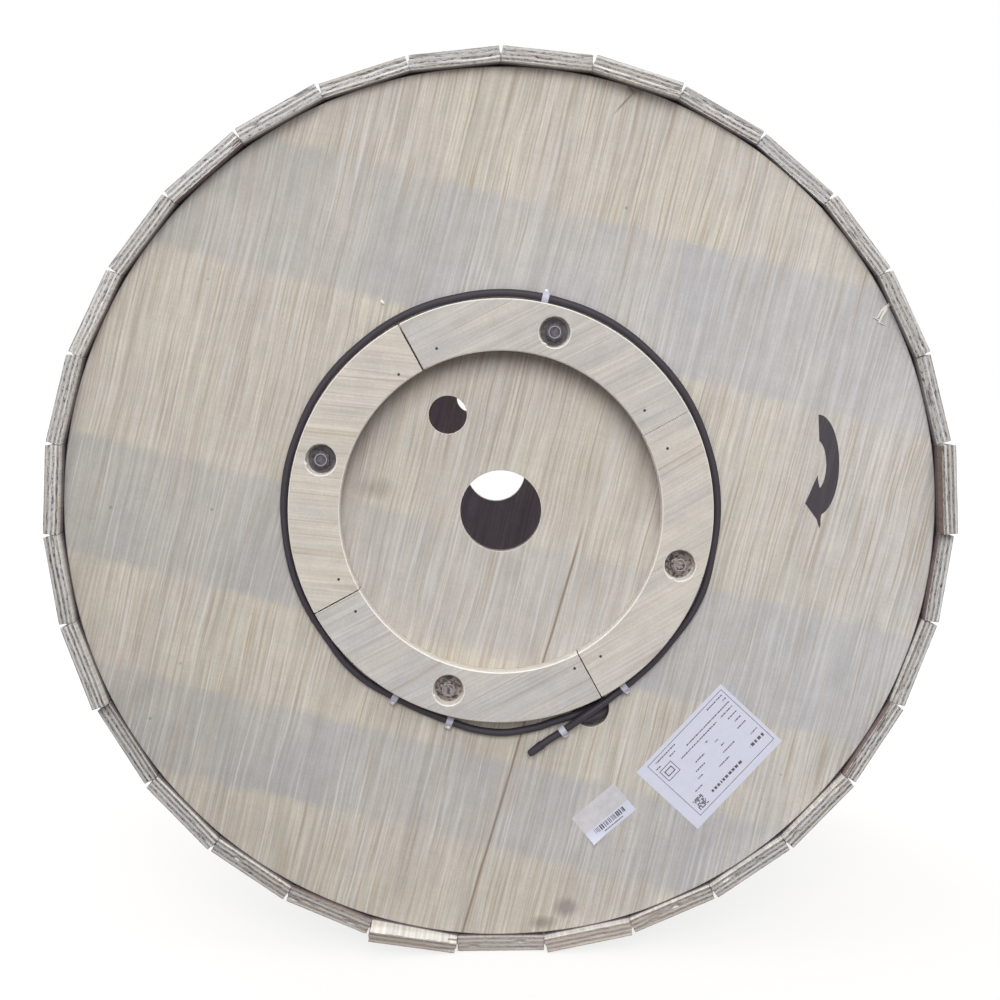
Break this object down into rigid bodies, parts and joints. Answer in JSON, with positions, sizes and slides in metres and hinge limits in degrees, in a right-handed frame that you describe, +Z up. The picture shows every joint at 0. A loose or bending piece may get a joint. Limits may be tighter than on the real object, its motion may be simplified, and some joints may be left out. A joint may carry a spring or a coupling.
{
  "type": "fiber optic cable reel",
  "caption": "Plywood cable drum wound with black fiber optic cable, lagged with boards round its rim, its cable tail clipped round the hub ring.",
  "frame": {"origin": "on the floor under the middle of the drum, the centre of the underside of its box", "axes": "+Z up; the drum's axis lies along Y, and the side with the cable tail faces -Y"},
  "size_m": [1.0904, 0.8033, 1.089],
  "materials": {
    "flange_plywood": "rough sawn, weathered",
    "ring_plywood": "rough, weathered",
    "stave_plywood": "rough",
    "board_plywood": "rough, weathered",
    "fastener_steel": "dull zinc",
    "cable_sheath": "smooth satin",
    "shrink_cap": "satin",
    "clip_plastic": "satin"
  },
  "bodies": {
    "root": {"flange_front": "flange_plywood", "flange_back": "flange_plywood", "ring_segment_front_1": "ring_plywood", "ring_segment_front_2": "ring_plywood", "ring_segment_front_3": "ring_plywood", "ring_segment_front_4": "ring_plywood", "ring_segment_back_1": "ring_plywood", "ring_segment_back_2": "ring_plywood", "ring_segment_back_3": "ring_plywood", "ring_segment_back_4": "ring_plywood", "barrel_staves": "stave_plywood", "tie_rods": "fastener_steel", "hex_nuts": "fastener_steel", "washers": "fastener_steel", "lagging_board_01": "board_plywood", "lagging_board_02": "board_plywood", "lagging_board_03": "board_plywood", "lagging_board_04": "board_plywood", "lagging_board_05": "board_plywood", "lagging_board_06": "board_plywood", "lagging_board_07": "board_plywood", "lagging_board_08": "board_plywood", "lagging_board_09": "board_plywood", "lagging_board_10": "board_plywood", "lagging_board_11": "board_plywood", "lagging_board_12": "board_plywood", "lagging_board_13": "board_plywood", "lagging_board_14": "board_plywood", "lagging_board_15": "board_plywood", "lagging_board_16": "board_plywood", "lagging_board_17": "board_plywood", "lagging_board_18": "board_plywood", "lagging_board_19": "board_plywood", "lagging_board_20": "board_plywood", "lagging_board_21": "board_plywood", "lagging_board_22": "board_plywood", "lagging_board_23": "board_plywood", "lagging_board_24": "board_plywood", "lagging_board_25": "board_plywood", "lagging_board_26": "board_plywood", "lagging_board_27": "board_plywood", "lagging_board_28": "board_plywood", "lagging_board_29": "board_plywood", "lagging_board_30": "board_plywood", "lagging_board_31": "board_plywood", "cable_winding": "cable_sheath", "cable_tail": "cable_sheath", "cable_end_cap": "shrink_cap", "cable_clip_1": "clip_plastic", "cable_clip_2": "clip_plastic", "cable_clip_3": "clip_plastic", "cable_clip_4": "clip_plastic", "cable_clip_5": "clip_plastic"}
  },
  "joints": []
}
